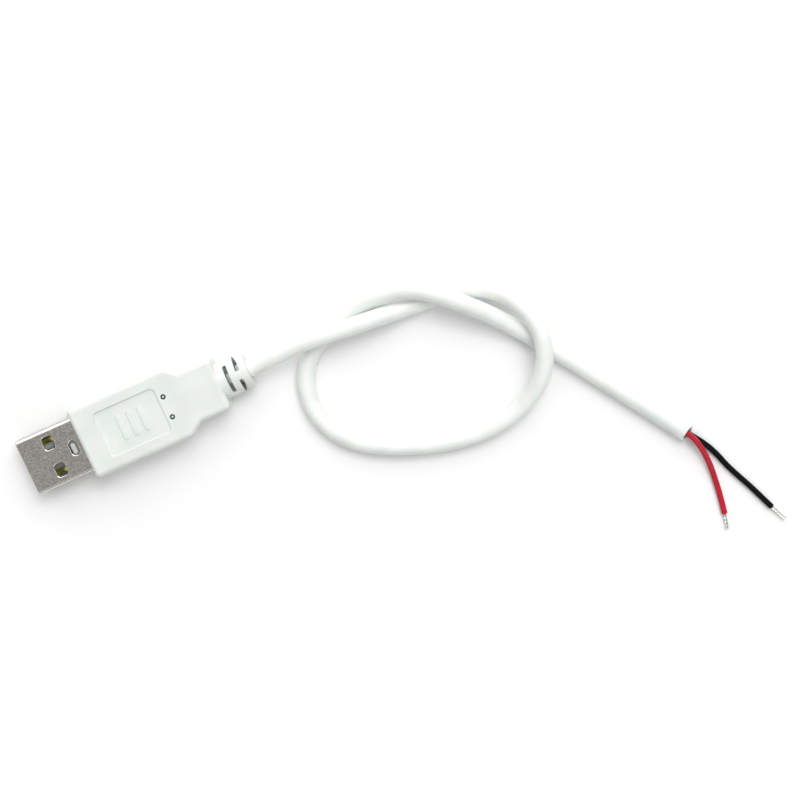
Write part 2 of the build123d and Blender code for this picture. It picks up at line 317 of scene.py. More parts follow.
# the stripped ends: seven strands twisted and tinned into one
strandTwist = {
    "strand": 0.22, "spread": 1.14, "around": 6, "turnEvery": 4.6,  # the spread is in strand widths
    "redLength": 3.4, "redSway": 0.12, "blackLength": 4.0, "blackSway": -0.15, "buried": 0.15, "voxel": 0.024,
}
strandEnds = [0.0, -0.12, 0.05, -0.2, 0.1, -0.05, 0.02]  # mm, how far each strand reaches past the common end


def addStrand(points, diameter):
    strand = addLine("strand", points, 6)
    strand.data.bevel_depth = diameter / 2 * mm
    strand.data.bevel_resolution = 3
    strand.data.use_fill_caps = True
    pick(strand)
    bpy.ops.object.convert(target="MESH")
    return bpy.context.object


def makeTinnedEnd(name, path, length, sway, node):
    along = (path[-1] - path[-2]).normalized()
    side = along.cross(Vector((0, 0, 1))).normalized()
    start = path[-1] - along * strandTwist["buried"] * mm
    route = [start, start + along * length * 0.5 * mm, start + (along * length + side * sway) * mm]
    line = addLine("tinnedRoute", route, 12)
    spots = readLine(line)
    bpy.data.objects.remove(line)
    up = side.cross(along)
    ring = strandTwist["strand"] * strandTwist["spread"] * mm
    strands = []
    for number in range(strandTwist["around"] + 1):
        points = []
        for step, spot in enumerate(spots):
            reach = (spot - start).dot(along) / mm
            angle = 2 * math.pi * (reach / strandTwist["turnEvery"] + number / strandTwist["around"])
            out = 0 if number == strandTwist["around"] else ring
            points.append(spot + (side * math.cos(angle) + up * math.sin(angle)) * out)
        points[-1] = points[-1] + along * strandEnds[number] * mm
        strands.append(addStrand(points, strandTwist["strand"]))
    piece = joinAll(strands, name)
    remesh = piece.modifiers.new("fuse", "REMESH")
    remesh.mode = "VOXEL"
    remesh.voxel_size = strandTwist["voxel"] * mm
    soften = piece.modifiers.new("soften", "SMOOTH")
    soften.factor = 0.5
    soften.iterations = 2
    applyAll(piece)
    mark = piece.data.attributes.new("fromCut", "FLOAT", "POINT")
    for value, vertex in zip(mark.data, piece.data.vertices):
        value.value = (vertex.co - path[-1]).dot(along) / mm
    smoothByAngle(piece, 60)
    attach(piece, "root")
    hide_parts(node)
    return piece


def makeLead(name, route, node, endName, endNode, endLength, endSway):
    tube, path = makeTube(name, route, wire)
    for end in (path[0], path[-1]):
        closeEnd(tube, end, wire["diameter"] * mm)
        leaveEdit()
    bevelSharp(tube, wire["rounding"], 2, 60, clamp=True)
    smoothByAngle(tube, 50)
    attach(tube, "root")
    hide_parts(node)
    end = makeTinnedEnd(endName, path, endLength, endSway, endNode)
    return tube, end


def copySolid(name, node):  # a merged copy of a CAD solid, to be worked on as a piece
    piece = frame["nodes"][node].copy()
    piece.data = piece.data.copy()
    piece.name = name
    piece.parent = None
    del piece["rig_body"], piece["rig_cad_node"]
    bpy.context.scene.collection.objects.link(piece)
    piece.hide_render = piece.hide_viewport = False
    weldClose(piece)
    return piece


def keepPlugStretch(name, node):  # what lies inside the plug, which the smooth cord doesn't follow
    piece = copySolid(name, node)
    editSelect(piece, "VERT", lambda v: v.co.x > wire["plugStretch"] * mm)
    bpy.ops.mesh.delete(type="VERT")
    leaveEdit()
    smoothByAngle(piece, 40)
    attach(piece, "root")
    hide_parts(node)
    return piece


cableJacket, jacketPath = makeJacket()
redLead, redTinnedEnd = makeLead(
    "redLead", redRoute, "red_wire", "redTinnedEnd", "red_conductor",
    strandTwist["redLength"], strandTwist["redSway"],
)
blackLead, blackTinnedEnd = makeLead(
    "blackLead", blackRoute, "black_wire", "blackTinnedEnd", "black_conductor",
    strandTwist["blackLength"], strandTwist["blackSway"],
)
redPlugWire = keepPlugStretch("redPlugWire", "red_wire")
blackPlugWire = keepPlugStretch("blackPlugWire", "black_wire")
redPlugStrands = keepPlugStretch("redPlugStrands", "red_conductor")
blackPlugStrands = keepPlugStretch("blackPlugStrands", "black_conductor")
print("cords laid")


# the plug's outer moulding, soft plastic over the inner block and the cable, with the slotted strain relief
moulding = {
    "face": -12.5, "taperFrom": 9.3, "taperTo": 11.9, "tail": 19.0, "end": 25.2,  # mm along the plug
    "width": 15.4, "tailWidth": 11.3, "height": 8.0, "edge": 1.0, "softEdge": 0.1,
    "above": 9.0,  # where the cutters end above the plug
    "axis": 4.0, "reliefStart": 3.97, "reliefEnd": 3.7, "reliefLip": 0.35,  # the relief's height, radii and edge
    "topSlot": (20.6, 21.4), "sideSlot": (22.9, 23.7), "slotHalf": 2.9, "topBridge": 1.9,
    "slotFloor": 1.6, "slotReach": 4.6, "slotCorner": 0.25,
    "pocket": ((-13.5, -6.0, 1.75), (-6.4, 6.0, 6.25)), "pocketCorner": 0.8,  # for the shell's back
    "cavity": ((-9.2, -6.5, 1.0), (8.5, 6.5, 7.0)),  # for the inner moulding, which narrows to a neck
    "neck": ((8.0, -4.0, 1.2), (16.1, 4.0, 6.8)),
    "bore": (15.5, 26.0, 1.85),  # for the cable: from, to and radius
    "panelFrom": -7.7, "panelTo": 6.1, "panelWidth": 9.9, "panelDepth": 0.35,
    "panelFront": 0.8, "panelBack": 1.0, "panelSlope": 0.26,  # how far its corners and foot are rounded
    "bars": (-3.2, -0.8, 1.6), "barWidth": 1.0, "barLength": 5.6, "barRise": 0.2, "barRoot": 0.4, "barLip": 0.12,
    "pinHole": 7.25, "pinHoleSide": 2.26, "pinHoleWidth": 1.1, "pinHoleDepth": 0.85,
    "pinPostWidth": 0.44, "pinPostFrom": 5.0, "pinPostTo": 7.9,
    "ribFrom": -4.7, "ribPitch": 0.52, "ribCount": 10, "ribHeight": 6.4,
    "ribDepth": 0.23,  # under half of the pitch, or the cutters would cross each other
}


def roundAlong(piece, axis, width, segments, test=None):  # rounds the edges that run along one axis
    def runs(edge):
        a, b = (v.co for v in edge.verts)
        return abs((b - a).normalized()[axis]) > 0.99 and (test is None or test((a + b) / 2 / mm))
    editSelect(piece, "EDGE", runs)
    bpy.ops.mesh.bevel(offset=width * mm, segments=segments, affect="EDGES")
    leaveEdit()


def roundLevel(piece, axis, level, width, segments):  # rounds the edges that lie in one flat plane
    editSelect(piece, "EDGE", lambda e: all(abs(v.co[axis] - level * mm) < 1e-6 for v in e.verts))
    bpy.ops.mesh.bevel(offset=width * mm, segments=segments, affect="EDGES")
    leaveEdit()


def addPanelCutter():
    half = moulding["panelWidth"] / 2
    floor = moulding["height"] - moulding["panelDepth"]
    front, back = moulding["panelFrom"], moulding["panelTo"]
    cutter = addBlock("panelCutter", (front, -half, floor), (back, half, moulding["above"]))
    middle = (front + back) / 2
    roundAlong(cutter, 2, moulding["panelFront"], 5, lambda place: place.x < middle)
    roundAlong(cutter, 2, moulding["panelBack"], 6, lambda place: place.x > middle)
    roundLevel(cutter, 2, floor, moulding["panelSlope"], 3)
    return cutter


def addGripBars():  # the first bar is shaped, the others are its copies
    floor = moulding["height"] - moulding["panelDepth"]
    half, long = moulding["barWidth"] / 2, moulding["barLength"] / 2
    top = floor + moulding["barRise"]
    first = moulding["bars"][0]
    bar = addBlock("gripBar", (first - half, -long, floor - moulding["barRoot"]), (first + half, long, top))
    roundAlong(bar, 2, half * 0.98, 8)  # nearly half round
    roundLevel(bar, 2, top, moulding["barLip"], 3)
    copies = [bar]
    for x in moulding["bars"][1:]:
        other = bar.copy()
        other.data = bar.data.copy()
        bpy.context.scene.collection.objects.link(other)
        other.location.x = (x - first) * mm
        settle(other)
        copies.append(other)
    return copies


def addRelief():
    start, end = moulding["tail"] - moulding["edge"], moulding["end"]
    relief = addRod(
        "relief", (start, 0, moulding["axis"]), (end, 0, moulding["axis"]), moulding["reliefStart"], 72,
        moulding["reliefEnd"],
    )
    roundLevel(relief, 0, end, moulding["reliefLip"], 4)
    return relief


def cutSlots(body):  # slots by turns from above and below, and from the sides
    axis = moulding["axis"]
    a, b = moulding["topSlot"]
    c, d = moulding["sideSlot"]
    half, reach = moulding["slotHalf"], moulding["slotReach"]
    for way in (-1, 1):
        inner, outer = sorted((way * moulding["slotFloor"], way * reach))
        slot = addBlock("topSlot", (a, -half, axis + inner), (b, half, axis + outer))
        roundAlong(slot, 2, moulding["slotCorner"], 3)
        combine(body, slot, "DIFFERENCE")
        inner, outer = sorted((way * moulding["topBridge"] / 2, way * reach))
        slot = addBlock("sideSlot", (c, inner, axis - reach), (d, outer, axis + reach))
        combine(body, slot, "DIFFERENCE")


def hollowOut(body):  # the places of the shell, the inner moulding and the cable
    pocket = addBlock("pocket", *moulding["pocket"])
    roundAlong(pocket, 0, moulding["pocketCorner"], 6)
    combine(body, pocket, "DIFFERENCE")
    for name in ("cavity", "neck"):
        combine(body, addBlock(name, *moulding[name]), "DIFFERENCE")
    start, end, radius = moulding["bore"]
    bore = addRod("bore", (start, 0, moulding["axis"]), (end, 0, moulding["axis"]), radius, 40)
    combine(body, bore, "DIFFERENCE")


def addPinHole(way):  # the tool's hollow pin leaves a ring round a small post
    x, y = moulding["pinHole"], way * moulding["pinHoleSide"]
    floor = moulding["height"] - moulding["pinHoleDepth"]
    ring = addRod("pinHole", (x, y, floor), (x, y, moulding["above"]), moulding["pinHoleWidth"] / 2, 28)
    low, high = moulding["pinPostFrom"], moulding["pinPostTo"]
    combine(ring, addRod("post", (x, y, low), (x, y, high), moulding["pinPostWidth"] / 2, 20), "DIFFERENCE")
    return ring


def cutRibs(body):  # fine upright grooves, the first of them shaped and the others copied
    half = moulding["width"] / 2
    side = moulding["ribDepth"] * math.sqrt(2)
    low, high = moulding["axis"] - moulding["ribHeight"] / 2, moulding["axis"] + moulding["ribHeight"] / 2
    grooves = []
    for way in (-1, 1):
        groove = addBlock("groove", (-side / 2, -side / 2, low), (side / 2, side / 2, high))
        groove.rotation_euler.z = math.radians(45)
        groove.location = (moulding["ribFrom"] * mm, way * half * mm, 0)
        settle(groove)
        row = groove.modifiers.new("row", "ARRAY")
        row.use_relative_offset = False
        row.use_constant_offset = True
        row.constant_offset_displace = (moulding["ribPitch"] * mm, 0, 0)
        row.count = moulding["ribCount"]
        applyAll(groove)
        grooves.append(groove)
    for groove in grooves:
        combine(body, groove, "DIFFERENCE")


def makeMoulding():
    half = moulding["width"] / 2
    body = addBlock("plugMoulding", (moulding["face"], -half, 0), (moulding["tail"], half, moulding["height"]))
    for x in (moulding["taperFrom"], moulding["taperTo"]):
        editSelect(body, "FACE", lambda f: True)
        bpy.ops.mesh.bisect(plane_co=(x * mm, 0, 0), plane_no=(1, 0, 0))
        leaveEdit()
    editSelect(body, "VERT", lambda v: v.co.x > (moulding["taperTo"] - 0.01) * mm)
    narrowing = moulding["tailWidth"] / moulding["width"]
    bpy.ops.transform.resize(value=(1, narrowing, 1), center_override=(0, 0, 0))
    leaveEdit()
    bevelSharp(body, moulding["edge"], 6, 30)
    combine(body, addRelief(), "UNION")
    cutSlots(body)
    combine(body, addPanelCutter(), "DIFFERENCE")
    for bar in addGripBars():
        combine(body, bar, "UNION")
    hollowOut(body)
    for way in (-1, 1):
        combine(body, addPinHole(way), "DIFFERENCE")
    bevelSharp(body, moulding["softEdge"], 2, 40, clamp=True)
    cutRibs(body)
    smoothByAngle(body, 40)
    flattenFaces(body)
    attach(body, "root")
    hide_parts("plug_overmould")
    return body


plugMoulding = makeMoulding()
print("moulding made:", len(plugMoulding.data.polygons), "faces")


# the shell: thin steel sheet folded round the tongue, its edges meeting under it
shell = {
    "mouth": -25.2, "end": -6.45, "axis": 4.0, "width": 12.0, "height": 4.5, "sheet": 0.3, "corner": 0.8,
    "windowAt": -18.8, "windowSide": 3.05, "windowLength": 2.3, "windowWidth": 2.8, "windowCorner": 0.6,
    "lockAt": -14.4, "lockLength": 1.7, "lockWidth": 3.2, "rim": 0.25, "mouthEdge": 0.12,
    "seam": 0.08, "dovetailFrom": -17.0, "dovetailTo": -14.6, "dovetailNeck": 0.7, "dovetailHead": 1.1,
    "holeReach": (-1, 9), "slitReach": (1.4, 2.4), "holesWithin": 5.0,  # the cutters' heights, and half a width
}


def cutWindows(body):
    long, wide = shell["windowLength"] / 2, shell["windowWidth"] / 2
    low, high = shell["holeReach"]
    for way in (-1, 1):
        x, y = shell["windowAt"], way * shell["windowSide"]
        window = addBlock("window", (x - long, y - wide, low), (x + long, y + wide, high))
        roundAlong(window, 2, shell["windowCorner"], 5)
        combine(body, window, "DIFFERENCE")
    long, wide = shell["lockLength"] / 2, shell["lockWidth"] / 2
    x = shell["lockAt"]
    hole = addBlock("lockHole", (x - long, -wide, shell["axis"]), (x + long, wide, high))
    roundAlong(hole, 2, long * 0.98, 8)
    combine(body, hole, "DIFFERENCE")


def cutSeam(body):  # a narrow slit from mouth to back, with a dovetail that locks the two edges
    gap = shell["seam"] / 2
    low, high = shell["slitReach"]
    a, b = shell["dovetailFrom"], shell["dovetailTo"]
    neck, head = shell["dovetailNeck"], shell["dovetailHead"]
    corners = [(shell["mouth"] - 1, 0), (a, 0), (a, head), (a + neck, head), (b, 0), (shell["end"] + 1, 0)]
    for (x, y), (u, v) in zip(corners, corners[1:]):
        run = math.hypot(u - x, v - y)
        cut = addBlock("slit", (-run / 2 - gap, -gap, low), (run / 2 + gap, gap, high))
        cut.rotation_euler.z = math.atan2(v - y, u - x)
        cut.location = ((x + u) / 2 * mm, (y + v) / 2 * mm, 0)
        settle(cut)
        combine(body, cut, "DIFFERENCE")


def roundRims(body):  # punched holes have a rolled edge outside, the mouth a small one
    top = (shell["axis"] + shell["height"] / 2) * mm
    low = (shell["axis"] - shell["height"] / 2) * mm
    front, back = (shell["mouth"] + 1) * mm, (shell["end"] - 1) * mm
    mouth, aside = shell["mouth"] * mm, shell["holesWithin"] * mm

    def isSharp(edge):
        return edge.calc_face_angle(0) > 0.9  # radians

    def onHole(edge):
        flat = all(abs(v.co.z - top) < 1e-7 or abs(v.co.z - low) < 1e-7 for v in edge.verts)
        within = all(front < v.co.x < back and abs(v.co.y) < aside for v in edge.verts)
        return flat and within and isSharp(edge)

    editSelect(body, "EDGE", onHole)
    bpy.ops.mesh.bevel(offset=shell["rim"] * mm, segments=4, affect="EDGES", clamp_overlap=True)
    leaveEdit()
    editSelect(body, "EDGE", lambda e: isSharp(e) and all(abs(v.co.x - mouth) < 1e-7 for v in e.verts))
    bpy.ops.mesh.bevel(offset=shell["mouthEdge"] * mm, segments=3, affect="EDGES", clamp_overlap=True)
    leaveEdit()


def makeShell():
    half, low = shell["width"] / 2, shell["axis"] - shell["height"] / 2
    body = addBlock("plugShell", (shell["mouth"], -half, low), (shell["end"], half, low + shell["height"]))
    editSelect(body, "FACE", lambda f: abs(f.normal.x) > 0.9)
    bpy.ops.mesh.delete(type="FACE")
    leaveEdit()
    roundAlong(body, 0, shell["corner"], 8)
    sheet = body.modifiers.new("sheet", "SOLIDIFY")
    sheet.thickness = shell["sheet"] * mm
    sheet.offset = -1
    sheet.use_even_offset = True
    applyAll(body)
    cutWindows(body)
    roundRims(body)
    cutSeam(body)
    smoothByAngle(body, 40)
    flattenFaces(body)
    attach(body, "root")
    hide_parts("plug_shell")
    return body


plugShell = makeShell()
print("shell made:", len(plugShell.data.polygons), "faces")


# the contact carrier: a copy of the solid, with the side gaps and the rounded boss that the holes show
carrier = {
    "gapLength": (-26, -16.4), "gapSides": (4.08, 5.3), "gapHeights": (2.6, 5.0),  # mm along, aside, up
    "pit": (-15.5, -1.85, -13.3, 1.85), "pitFloor": 5.0, "pitTop": 7.0,
    "boss": (-15.1, -1.5, -13.95, 1.0), "bossRoot": 4.8, "bossTop": 5.98, "bossCorner": 0.5, "bossCrown": 0.4,
}


def makeCarrier():
    piece = copySolid("contactCarrier", "contact_carrier")
    front, back = carrier["gapLength"]
    floor, top = carrier["gapHeights"]
    for way in (-1, 1):
        low, high = sorted(way * side for side in carrier["gapSides"])
        combine(piece, addBlock("gap", (front, low, floor), (back, high, top)), "DIFFERENCE")
    left, near, right, far = carrier["pit"]
    pit = addBlock("pit", (left, near, carrier["pitFloor"]), (right, far, carrier["pitTop"]))
    combine(piece, pit, "DIFFERENCE")
    left, near, right, far = carrier["boss"]
    boss = addBlock("boss", (left, near, carrier["bossRoot"]), (right, far, carrier["bossTop"]))
    roundAlong(boss, 2, carrier["bossCorner"], 6)
    roundLevel(boss, 2, carrier["bossTop"], carrier["bossCrown"], 5)
    combine(piece, boss, "UNION")
    smoothByAngle(piece, 40)
    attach(piece, "root")
    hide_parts("contact_carrier")
    return piece


contactCarrier = makeCarrier()
print("carrier made")


# contacts: stamped strip with a crowned face, its nose bent down into the tongue
contact = {
    "floor": 3.58, "top": 3.93, "width": 1.0, "crown": 0.3,
    "noseLength": 0.45, "noseStep": 0.15, "noseDrop": 0.62, "noseShares": (0.12, 0.28, 0.6),  # of the drop
    "places": {  # y, the nose and the tail along the plug
        "contact_vbus": (-3.5, -24.0, -2.25), "contact_data_minus": (-1.0, -23.0, -4.85),
        "contact_data_plus": (1.0, -23.0, -4.85), "contact_ground": (3.5, -24.0, -2.25),
    },
}


def isCrownEdge(edge, y):  # the two long upper edges, down over the nose
    a, b = (v.co for v in edge.verts)
    alongside = abs(abs((a.y + b.y) / 2 - y * mm) - contact["width"] / 2 * mm) < 1e-6
    rises = [face.normal.z for face in edge.link_faces]
    upper = all(rise > -0.1 for rise in rises) and any(rise > 0.3 for rise in rises)
    return alongside and upper and abs(a.y - b.y) < 1e-7


def makeContact(node, name):
    y, nose, tail = contact["places"][node]
    half, step = contact["width"] / 2, contact["noseStep"]
    bend = nose + contact["noseLength"]
    strip = addBlock(name, (bend, y - half, contact["floor"]), (tail, y + half, contact["top"]))
    for number, share in enumerate(contact["noseShares"]):  # the nose turns down in short steps
        front = (bend - step * number) * mm
        editSelect(strip, "FACE", lambda f: f.normal.x < -0.5 and f.calc_center_median().x < front + 0.1 * mm)
        move = (-step * mm, 0, -contact["noseDrop"] * share * mm)
        bpy.ops.mesh.extrude_region_move(TRANSFORM_OT_translate={"value": move})
        leaveEdit()
    editSelect(strip, "EDGE", lambda e: isCrownEdge(e, y))
    bpy.ops.mesh.bevel(offset=contact["crown"] * mm, segments=7, affect="EDGES", clamp_overlap=True)
    leaveEdit()
    smoothByAngle(strip, 50)
    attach(strip, "root")
    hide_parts(node)
    return strip


contacts = [
    makeContact("contact_vbus", "contactVbus"), makeContact("contact_data_minus", "contactDataMinus"),
    makeContact("contact_data_plus", "contactDataPlus"), makeContact("contact_ground", "contactGround"),
]
print("contacts made")


# materials, each named for the real one; pattern sizes are in mm
def addNode(tree, kind, values=None, links=None, **settings):
    node = tree.nodes.new(kind)
    for name, value in settings.items():
        setattr(node, name, value)
    for socket, value in (values or {}).items():
        node.inputs[socket].default_value = value
    for socket, source in (links or {}).items():
        tree.links.new(source, node.inputs[socket])
    return node


def startMaterial(name, values):
    material = bpy.data.materials.new(name)
    material.use_nodes = True
    tree = material.node_tree
    shader = tree.nodes["Principled BSDF"]
    for socket, value in values.items():
        shader.inputs[socket].default_value = value
    place = addNode(tree, "ShaderNodeTexCoord").outputs["Object"]
    return material, tree, shader, place


noiseMiddle = {"From Min": 0.35, "From Max": 0.65}  # where most of a noise's values lie
noiseCore = {"From Min": 0.4, "From Max": 0.6}  # a narrower span, for more contrast
softPvc = {"IOR": 1.53, "Subsurface Weight": 0.2, "Subsurface Scale": 0.0012}


def scaleFor(size):  # the texture scale that makes a pattern of this size, in mm
    return 1 / (size * mm)


def roughEnds(low, high):  # nearly all of a noise's values, mapped to the least and the most roughness
    return {"From Min": 0.3, "From Max": 0.7, "To Min": low, "To Max": high}


def feedShader(tree, shader, tint, rough, bump):  # the end that all materials share
    pattern, span, dark, light = tint
    spread = addNode(tree, "ShaderNodeMapRange", span, {"Value": pattern})
    colours = {6: toLinear(dark), 7: toLinear(light)}  # the two colour sockets of a mix
    colour = addNode(tree, "ShaderNodeMix", colours, {0: spread.outputs["Result"]}, data_type="RGBA")
    pattern, span = rough
    roughness = addNode(tree, "ShaderNodeMapRange", span, {"Value": pattern})
    tree.links.new(colour.outputs[2], shader.inputs["Base Color"])
    tree.links.new(roughness.outputs["Result"], shader.inputs["Roughness"])
    tree.links.new(bump.outputs["Normal"], shader.inputs["Normal"])


# plasticised PVC, injection moulded in a spark-eroded tool: satin, slightly translucent white
mouldedPvc = {
    "clouds": 7.0, "texture": 0.28,  # a real spark texture is near 0.05 mm, drawn coarser to show
    "dark": "#DADFDB", "light": "#E2E5E0", "roughness": (0.42, 0.54),
}


def makeMouldedPvc():
    material, tree, shader, place = startMaterial("mouldedPvcWhite", softPvc)
    clouds = addNode(
        tree, "ShaderNodeTexNoise", {"Scale": scaleFor(mouldedPvc["clouds"]), "Detail": 2.0}, {"Vector": place},
    )
    texture = addNode(
        tree, "ShaderNodeTexNoise", {"Scale": scaleFor(mouldedPvc["texture"]), "Detail": 2.0, "Roughness": 0.6},
        {"Vector": place},
    )
    sink = addNode(
        tree, "ShaderNodeBump", {"Strength": 0.25, "Distance": 0.05 * mm}, {"Height": clouds.outputs["Fac"]},
    )
    spark = addNode(
        tree, "ShaderNodeBump", {"Strength": 0.3, "Distance": 0.01 * mm},
        {"Height": texture.outputs["Fac"], "Normal": sink.outputs["Normal"]},
    )
    tint = clouds.outputs["Fac"], noiseMiddle, mouldedPvc["dark"], mouldedPvc["light"]
    rough = texture.outputs["Fac"], roughEnds(*mouldedPvc["roughness"])
    feedShader(tree, shader, tint, rough, spark)
    return material


# the same PVC with painted shade in the pin marks and the relief's slots: darker grey and dull
paintedShadePvc = {
    "speckle": 0.18, "pinMarks": ("#454745", "#757874"), "slots": ("#777A77", "#B2B5B1"),
    "markReach": 0.58, "markHeights": (7.0, 7.82), "slotReach": 3.45,  # mm from the pin's and the relief's axis
}


def makePaintedShadePvc(name, dark, light):
    material, tree, shader, place = startMaterial(name, {"IOR": 1.53})
    speckle = addNode(
        tree, "ShaderNodeTexNoise", {"Scale": scaleFor(paintedShadePvc["speckle"]), "Detail": 2.0, "Roughness": 0.7},
        {"Vector": place},
    )
    grit = addNode(
        tree, "ShaderNodeBump", {"Strength": 0.4, "Distance": 0.02 * mm}, {"Height": speckle.outputs["Fac"]},
    )
    tint = speckle.outputs["Fac"], noiseCore, dark, light
    rough = speckle.outputs["Fac"], {"To Min": 0.7, "To Max": 0.9}
    feedShader(tree, shader, tint, rough, grit)
    return material


# plasticised PVC, extruded: smoother and whiter than the moulding, with faint draw lines along it
extrudedPvc = {"waves": 5.0, "dark": "#E5E9E6", "light": "#EEF1EE", "roughness": (0.3, 0.4)}


def makeExtrudedPvc():
    material, tree, shader, place = startMaterial("extrudedPvcWhite", softPvc)
    alongCord = addNode(tree, "ShaderNodeUVMap", uv_map="UVMap").outputs["UV"]
    stretch = addNode(tree, "ShaderNodeMapping", {"Scale": (30, 1.5, 1)}, {"Vector": alongCord})
    drawLines = addNode(
        tree, "ShaderNodeTexNoise", {"Scale": 1.0, "Detail": 3.0, "Roughness": 0.6},
        {"Vector": stretch.outputs["Vector"]},
    )
    waves = addNode(
        tree, "ShaderNodeTexNoise", {"Scale": scaleFor(extrudedPvc["waves"]), "Detail": 1.0}, {"Vector": place},
    )
    uneven = addNode(
        tree, "ShaderNodeBump", {"Strength": 0.3, "Distance": 0.12 * mm}, {"Height": waves.outputs["Fac"]},
    )
    drawn = addNode(
        tree, "ShaderNodeBump", {"Strength": 0.15, "Distance": 0.01 * mm},
        {"Height": drawLines.outputs["Fac"], "Normal": uneven.outputs["Normal"]},
    )
    tint = waves.outputs["Fac"], noiseMiddle, extrudedPvc["dark"], extrudedPvc["light"]
    rough = drawLines.outputs["Fac"], roughEnds(*extrudedPvc["roughness"])
    feedShader(tree, shader, tint, rough, drawn)
    return material


# cold-rolled steel strip, nickel plated and stamped: satin grey with a fine mottle and faint roll lines
nickelSteel = {
    "mottle": 0.2, "clouds": 1.2, "rollLines": 0.1,  # real grains are near 0.05 mm, drawn coarser to show
    # the second finish is a painted sheen: lighter steel for the folds and rims that tilt up
    "satin": ("#A19E97", "#DCD9D0", 0.16, 0.28), "paintedSheen": ("#E6E4DC", "#FBFAF4", 0.12, 0.18),
    "foldTilt": (0.55, 0.985),  # how far up the faces with the painted sheen look
}


def makeNickelSteel(name, finish):
    material, tree, shader, place = startMaterial(name, {"Metallic": 1.0})
    dark, light, low, high = finish
    mottle = addNode(
        tree, "ShaderNodeTexNoise", {"Scale": scaleFor(nickelSteel["mottle"]), "Detail": 2.0, "Roughness": 0.75},
        {"Vector": place},
    )
    clouds = addNode(
        tree, "ShaderNodeTexNoise", {"Scale": scaleFor(nickelSteel["clouds"]), "Detail": 2.0}, {"Vector": place},
    )
    rolled = addNode(tree, "ShaderNodeMapping", {"Scale": (0.15, 1, 1)}, {"Vector": place})  # lengthwise
    rollLines = addNode(
        tree, "ShaderNodeTexNoise", {"Scale": scaleFor(nickelSteel["rollLines"]), "Detail": 2.0},
        {"Vector": rolled.outputs["Vector"]},
    )
    mixed = addNode(
        tree, "ShaderNodeMix", {0: 0.15}, {2: mottle.outputs["Fac"], 3: clouds.outputs["Fac"]},
        data_type="FLOAT",
    )
    grain = addNode(
        tree, "ShaderNodeBump", {"Strength": 0.1, "Distance": 0.008 * mm}, {"Height": mottle.outputs["Fac"]},
    )
    lines = addNode(
        tree, "ShaderNodeBump", {"Strength": 0.08, "Distance": 0.003 * mm},
        {"Height": rollLines.outputs["Fac"], "Normal": grain.outputs["Normal"]},
    )
    tint = mixed.outputs[0], noiseCore, dark, light
    rough = mottle.outputs["Fac"], roughEnds(low, high)
    feedShader(tree, shader, tint, rough, lines)
    return material


# glass-filled PBT, injection moulded: light grey and dull, with fine fibre flow marks
filledPbt = {"fibres": 0.12, "dark": "#ABAEAC", "light": "#C4C7C3", "roughness": (0.35, 0.5)}


def makeFilledPbt():
    material, tree, shader, place = startMaterial("glassFilledPbt", {"IOR": 1.57})
    flow = addNode(tree, "ShaderNodeMapping", {"Scale": (0.2, 1, 1)}, {"Vector": place})
    fibres = addNode(
        tree, "ShaderNodeTexNoise", {"Scale": scaleFor(filledPbt["fibres"]), "Detail": 3.0, "Roughness": 0.7},
        {"Vector": flow.outputs["Vector"]},
    )
    marks = addNode(
        tree, "ShaderNodeBump", {"Strength": 0.25, "Distance": 0.006 * mm}, {"Height": fibres.outputs["Fac"]},
    )
    tint = fibres.outputs["Fac"], noiseMiddle, filledPbt["dark"], filledPbt["light"]
    rough = fibres.outputs["Fac"], roughEnds(*filledPbt["roughness"])
    feedShader(tree, shader, tint, rough, marks)
    return material


# brass strip with a flash of gold over nickel: pale lemon yellow with faint wipe marks along it
flashedBrass = {"wipes": 0.08, "clouds": 0.9, "dark": "#C6C456", "light": "#F0EE9E", "roughness": (0.14, 0.26)}


def makeFlashedBrass():
    material, tree, shader, place = startMaterial("goldFlashedBrass", {"Metallic": 1.0})
    rolled = addNode(tree, "ShaderNodeMapping", {"Scale": (0.1, 1, 1)}, {"Vector": place})
    wipes = addNode(
        tree, "ShaderNodeTexNoise", {"Scale": scaleFor(flashedBrass["wipes"]), "Detail": 3.0, "Roughness": 0.6},
        {"Vector": rolled.outputs["Vector"]},
    )
    clouds = addNode(
        tree, "ShaderNodeTexNoise", {"Scale": scaleFor(flashedBrass["clouds"]), "Detail": 2.0},
        {"Vector": place},
    )
    marks = addNode(
        tree, "ShaderNodeBump", {"Strength": 0.2, "Distance": 0.002 * mm}, {"Height": wipes.outputs["Fac"]},
    )
    tint = clouds.outputs["Fac"], noiseMiddle, flashedBrass["dark"], flashedBrass["light"]
    rough = wipes.outputs["Fac"], roughEnds(*flashedBrass["roughness"])
    feedShader(tree, shader, tint, rough, marks)
    return material


# low-density polyethylene, moulded straight over the joints: waxy, slightly see-through white
naturalPe = {"clouds": 2.5, "dark": "#DADBD4", "light": "#E9EAE4", "roughness": (0.3, 0.45)}


def makeNaturalPe():
    values = {"IOR": 1.51, "Subsurface Weight": 0.5, "Subsurface Scale": 0.002}
    material, tree, shader, place = startMaterial("polyethyleneNatural", values)
    clouds = addNode(
        tree, "ShaderNodeTexNoise", {"Scale": scaleFor(naturalPe["clouds"]), "Detail": 2.0}, {"Vector": place},
    )
    flow = addNode(
        tree, "ShaderNodeBump", {"Strength": 0.3, "Distance": 0.03 * mm}, {"Height": clouds.outputs["Fac"]},
    )
    tint = clouds.outputs["Fac"], noiseMiddle, naturalPe["dark"], naturalPe["light"]
    rough = clouds.outputs["Fac"], roughEnds(*naturalPe["roughness"])
    feedShader(tree, shader, tint, rough, flow)
    return material


# tin alloy frozen from a melt: bright grey with a slightly crystalline skin
tinSolder = {"crystals": 0.22, "dark": "#B9B9B6", "light": "#D8D8D5"}


